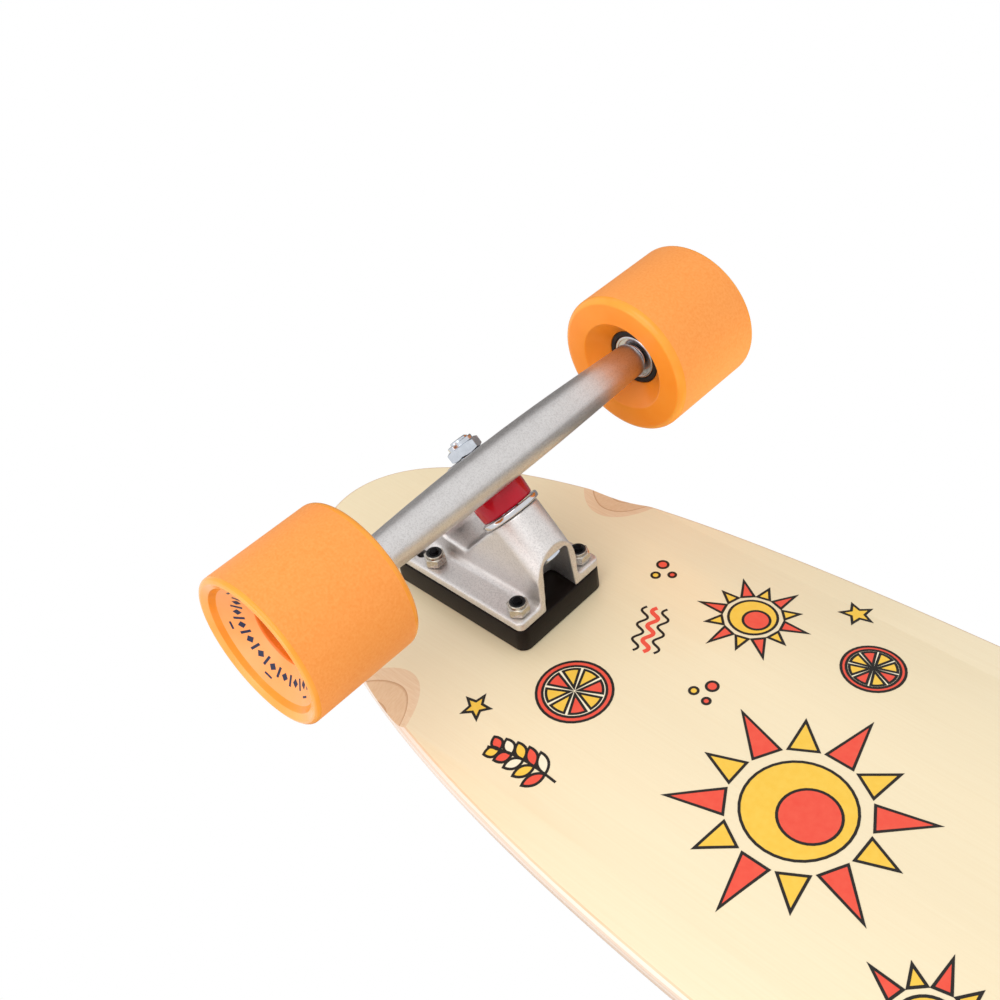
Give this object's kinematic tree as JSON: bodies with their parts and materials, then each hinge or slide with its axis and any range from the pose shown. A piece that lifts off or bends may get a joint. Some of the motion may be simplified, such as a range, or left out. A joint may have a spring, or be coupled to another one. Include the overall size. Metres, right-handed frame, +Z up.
{
  "type": "pintail longboard",
  "caption": "Pintail longboard: concave maple deck with wheel scoops on reverse-kingpin trucks that steer as it leans, risers, soft wheels on bearings",
  "frame": {"origin": "on the ground, under the middle of the deck's length and width", "axes": "+X along the board towards the nose, +Y to the rider's left, +Z up; the wheels stand on Z = 0"},
  "size_m": [1.016, 0.2748, 0.1389],
  "materials": {
    "maple": "clear satin lacquer",
    "grip": "coarse sanded sheet",
    "riser_rubber": "satin",
    "cast_aluminium": "satin cast",
    "black_steel": "black oxide",
    "zinc_steel": "zinc plated",
    "chromed_steel": "bright",
    "axle_steel": "drawn steel",
    "red_urethane": "satin translucent",
    "black_urethane": "satin",
    "orange_urethane": "satin translucent",
    "black_nylon": "satin"
  },
  "bodies": {
    "board": {"deck": "maple", "grip_tape": "grip", "rear_riser_pad": "riser_rubber", "rear_baseplate": "cast_aluminium", "rear_pivot_cup": "black_urethane", "rear_kingpin": "zinc_steel", "rear_boardside_washer": "chromed_steel", "rear_boardside_bushing": "red_urethane", "rear_roadside_bushing": "red_urethane", "rear_roadside_washer": "chromed_steel", "rear_kingpin_nut": "zinc_steel", "rear_deck_bolt_1": "black_steel", "rear_lock_nut_1": "zinc_steel", "rear_deck_bolt_2": "black_steel", "rear_lock_nut_2": "zinc_steel", "rear_deck_bolt_3": "black_steel", "rear_lock_nut_3": "zinc_steel", "rear_deck_bolt_4": "black_steel", "rear_lock_nut_4": "zinc_steel", "front_riser_pad": "riser_rubber", "front_baseplate": "cast_aluminium", "front_pivot_cup": "black_urethane", "front_kingpin": "zinc_steel", "front_boardside_washer": "chromed_steel", "front_boardside_bushing": "red_urethane", "front_roadside_bushing": "red_urethane", "front_roadside_washer": "chromed_steel", "front_kingpin_nut": "zinc_steel", "front_deck_bolt_1": "black_steel", "front_lock_nut_1": "zinc_steel", "front_deck_bolt_2": "black_steel", "front_lock_nut_2": "zinc_steel", "front_deck_bolt_3": "black_steel", "front_lock_nut_3": "zinc_steel", "front_deck_bolt_4": "black_steel", "front_lock_nut_4": "zinc_steel"},
    "rear_hanger_body": {"rear_hanger": "cast_aluminium", "rear_axle": "axle_steel", "rear_left_axle_nut": "zinc_steel", "rear_right_axle_nut": "zinc_steel"},
    "rear_left_wheel": {"rear_left_tyre": "orange_urethane", "rear_left_core": "black_nylon", "rear_left_inner_bearing": "zinc_steel", "rear_left_outer_bearing": "zinc_steel"},
    "rear_right_wheel": {"rear_right_tyre": "orange_urethane", "rear_right_core": "black_nylon", "rear_right_inner_bearing": "zinc_steel", "rear_right_outer_bearing": "zinc_steel"},
    "front_hanger_body": {"front_hanger": "cast_aluminium", "front_axle": "axle_steel", "front_left_axle_nut": "zinc_steel", "front_right_axle_nut": "zinc_steel"},
    "front_left_wheel": {"front_left_tyre": "orange_urethane", "front_left_core": "black_nylon", "front_left_inner_bearing": "zinc_steel", "front_left_outer_bearing": "zinc_steel"},
    "front_right_wheel": {"front_right_tyre": "orange_urethane", "front_right_core": "black_nylon", "front_right_inner_bearing": "zinc_steel", "front_right_outer_bearing": "zinc_steel"}
  },
  "joints": [
    {"name": "rear_steering", "type": "hinge", "parent": "board", "child": "rear_hanger_body", "pos_m": [-0.39208, 0, 0.04997], "axis": [0.7193, 0, -0.6947], "range_deg": [-15, 15], "stiffness_Nm_per_rad": 60, "deforming": ["rear_boardside_bushing", "rear_roadside_bushing"]},
    {"name": "rear_left_wheel_spin", "type": "hinge", "parent": "rear_hanger_body", "child": "rear_left_wheel", "pos_m": [-0.3804, 0.1099, 0.035], "axis": [0, 1, 0], "continuous": true},
    {"name": "rear_right_wheel_spin", "type": "hinge", "parent": "rear_hanger_body", "child": "rear_right_wheel", "pos_m": [-0.3804, -0.1099, 0.035], "axis": [0, 1, 0], "continuous": true},
    {"name": "front_steering", "type": "hinge", "parent": "board", "child": "front_hanger_body", "pos_m": [0.36208, 0, 0.04997], "axis": [-0.7193, 0, -0.6947], "range_deg": [-15, 15], "stiffness_Nm_per_rad": 60, "deforming": ["front_boardside_bushing", "front_roadside_bushing"]},
    {"name": "front_left_wheel_spin", "type": "hinge", "parent": "front_hanger_body", "child": "front_left_wheel", "pos_m": [0.3504, 0.1099, 0.035], "axis": [0, 1, 0], "continuous": true},
    {"name": "front_right_wheel_spin", "type": "hinge", "parent": "front_hanger_body", "child": "front_right_wheel", "pos_m": [0.3504, -0.1099, 0.035], "axis": [0, 1, 0], "continuous": true}
  ]
}
